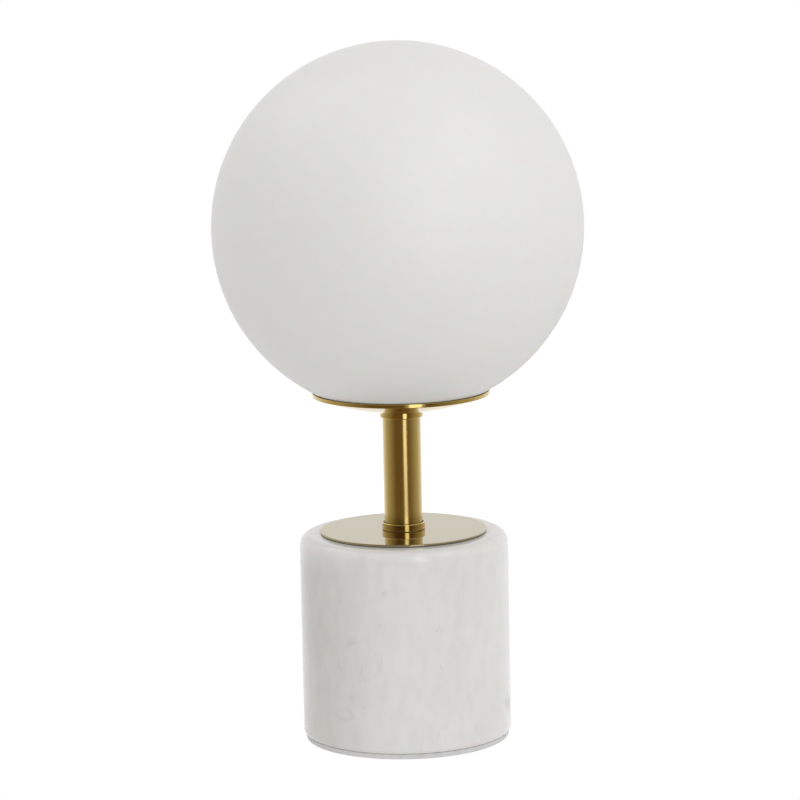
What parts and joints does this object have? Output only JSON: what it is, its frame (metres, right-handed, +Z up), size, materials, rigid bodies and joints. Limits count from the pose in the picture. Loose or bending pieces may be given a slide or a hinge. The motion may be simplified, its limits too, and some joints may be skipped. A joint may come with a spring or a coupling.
{
  "type": "glass globe table lamp",
  "caption": "Table lamp: a white opal glass globe resting in a shallow brass dish, on a short brass stem that rises from a thin brass disc on a round white marble drum",
  "frame": {"origin": "middle of the foot's underside, on the table", "axes": "+Z up along the lamp's axis, -Y is the front, +Y the back with the cord's inlet"},
  "size_m": [0.2, 0.2, 0.3793],
  "materials": {
    "opal_glass": "satin white opal glass",
    "satin_brass": "fine turned, satin",
    "polished_brass": "polished",
    "marble": "polished white marble with faint grey clouds",
    "foam": "soft closed-cell foam",
    "fibre": "pressed fibre",
    "silicone": "translucent silicone",
    "spring_steel": "bare spring steel",
    "zinc_steel": "zinc plated",
    "contact_brass": "plain",
    "nylon": "moulded nylon",
    "brown_insulation": "PVC insulation",
    "blue_insulation": "PVC insulation",
    "green_yellow_insulation": "PVC insulation",
    "holder_plastic": "moulded white thermoplastic",
    "porcelain": "unglazed",
    "nickel": "nickel plated",
    "black_glass": "moulded insulator",
    "bulb_plastic": "moulded white plastic",
    "board": "white solder mask",
    "diffuser": "frosted opal plastic"
  },
  "bodies": {
    "base": {"globe_dish": "satin_brass", "top_collar": "satin_brass", "bottom_collar": "satin_brass", "stem_tube": "satin_brass", "base_plate": "polished_brass", "marble_base": "marble", "foot_pad": "foam", "plate_gasket": "fibre", "globe_seal": "silicone", "globe_spring": "spring_steel", "threaded_rod": "zinc_steel", "dish_washer": "zinc_steel", "dish_nut": "zinc_steel", "clamp_disc": "zinc_steel", "base_washer": "zinc_steel", "base_nut": "zinc_steel", "earth_tag": "contact_brass", "lower_bush": "nylon", "upper_bush": "nylon", "cord_bush": "nylon", "terminal_block": "nylon", "block_poles": "contact_brass", "block_screws": "zinc_steel", "block_fixings": "zinc_steel", "live_lead": "brown_insulation", "neutral_lead": "blue_insulation", "earth_lead": "green_yellow_insulation", "holder_cap": "holder_plastic", "holder_sleeve": "holder_plastic", "holder_core": "porcelain", "holder_terminals": "contact_brass", "holder_screws": "zinc_steel", "screw_shell": "contact_brass", "centre_contact": "contact_brass"},
    "globe": {"glass_globe": "opal_glass"},
    "bulb_carrier": {"bulb_tip": "nickel"},
    "bulb": {"bulb_cap": "nickel", "bulb_insulator": "black_glass", "bulb_housing": "bulb_plastic", "led_board": "board", "bulb_diffuser": "diffuser"}
  },
  "joints": [
    {"name": "globe_lift", "type": "slide", "parent": "base", "child": "globe", "axis": [0, 0, 1], "range_m": [0, 0.11]},
    {"name": "bulb_rise", "type": "slide", "parent": "base", "child": "bulb_carrier", "axis": [0, 0, 1], "range_m": [0, 0.0142]},
    {"name": "bulb_turn", "type": "hinge", "parent": "bulb_carrier", "child": "bulb", "pos_m": [0, 0, 0.2268], "axis": [0, 0, 1], "range_deg": [0, 1800]}
  ],
  "couplings": [
    {"joint": "bulb_rise", "follows": "bulb_turn", "m_per_rad": 0.00044882}
  ]
}
